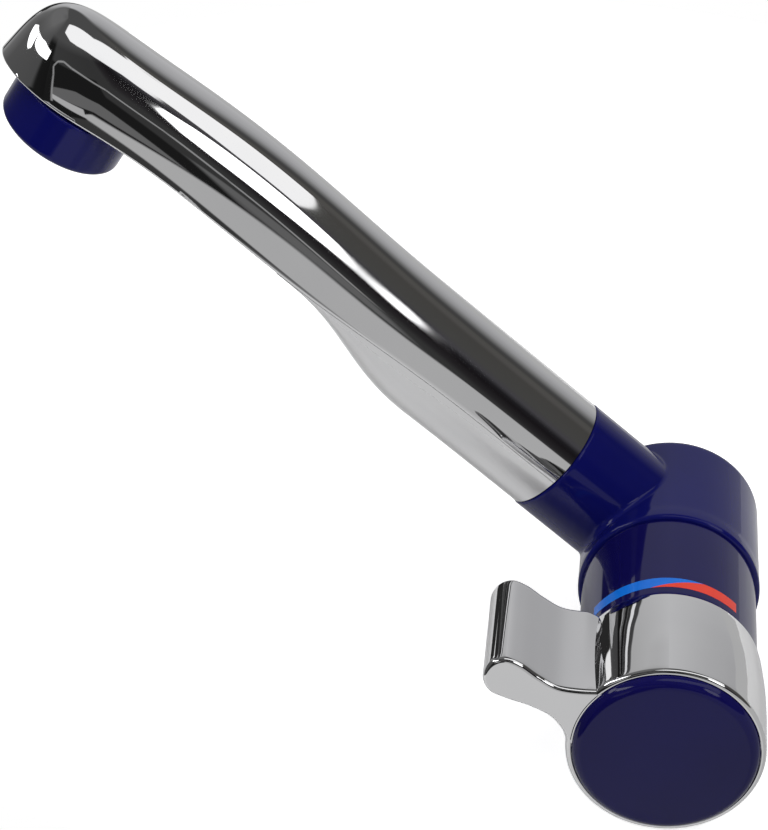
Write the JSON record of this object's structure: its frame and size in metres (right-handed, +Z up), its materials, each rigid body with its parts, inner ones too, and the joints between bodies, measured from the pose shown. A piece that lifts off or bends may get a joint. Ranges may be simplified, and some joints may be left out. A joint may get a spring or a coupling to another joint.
{
  "type": "mixer tap",
  "caption": "Wall-mounted mixer tap: level body with a swinging chrome spout, a ring lever that turns for heat and pulls for flow, and a blue end cap.",
  "frame": {"origin": "middle of the body's flat back face, where it meets the wall or panel", "axes": "+Z is up, +Y goes into the wall, and the lever end points to -Y; the spout leans up to -X at rest, and +X is the hot side"},
  "size_m": [0.1895, 0.1301, 0.1701],
  "materials": {
    "chrome": "polished",
    "blue_plastic": "gloss",
    "cold_blue": "gloss",
    "hot_red": "gloss",
    "brass": "satin",
    "steel": "satin",
    "rubber": "matte",
    "white_plastic": "matte",
    "grey_plastic": "matte"
  },
  "bodies": {
    "base": {"body_core": "brass", "base_gasket": "rubber", "fixing_stud": "steel", "clamp_plate": "steel", "clamp_nut": "brass", "cold_inlet_tail": "brass", "hot_inlet_tail": "brass", "tail_seals": "rubber", "body_sleeve": "blue_plastic", "cold_mark": "cold_blue", "hot_mark": "hot_red", "rear_slip_ring": "white_plastic", "front_slip_ring": "white_plastic", "rear_collar_seal": "rubber", "front_collar_seal": "rubber", "cartridge_shell": "brass", "shell_seals": "rubber", "port_seals": "rubber", "guide_bush": "white_plastic", "cartridge_nut": "brass", "stop_ring_clip": "steel"},
    "turn_stage": {"stop_ring": "white_plastic"},
    "lever": {"valve_spool": "brass", "spool_seals": "rubber", "lever_ring": "chrome", "lever_hub": "brass", "lever_screw": "steel", "lever_cap": "blue_plastic"},
    "spout": {"spout_collar": "blue_plastic", "stop_screw": "steel", "spout_screw": "steel", "spout_shell": "chrome", "spout_underside": "chrome", "shell_screw": "steel", "waterway": "grey_plastic", "plug_seals": "rubber", "outlet_housing": "blue_plastic", "aerator_washer": "rubber", "aerator_insert": "white_plastic", "aerator_screen": "steel"}
  },
  "joints": [
    {"name": "spout_swivel", "type": "hinge", "parent": "base", "child": "spout", "pos_m": [0, -0.01975, 0], "axis": [0, -1, 0], "range_deg": [-48, 42]},
    {"name": "lever_turn", "type": "hinge", "parent": "base", "child": "turn_stage", "pos_m": [0, -0.09, 0], "axis": [0, 1, 0], "range_deg": [0, 100]},
    {"name": "lever_pull", "type": "slide", "parent": "turn_stage", "child": "lever", "axis": [0, -1, 0], "range_m": [0, 0.008]}
  ]
}
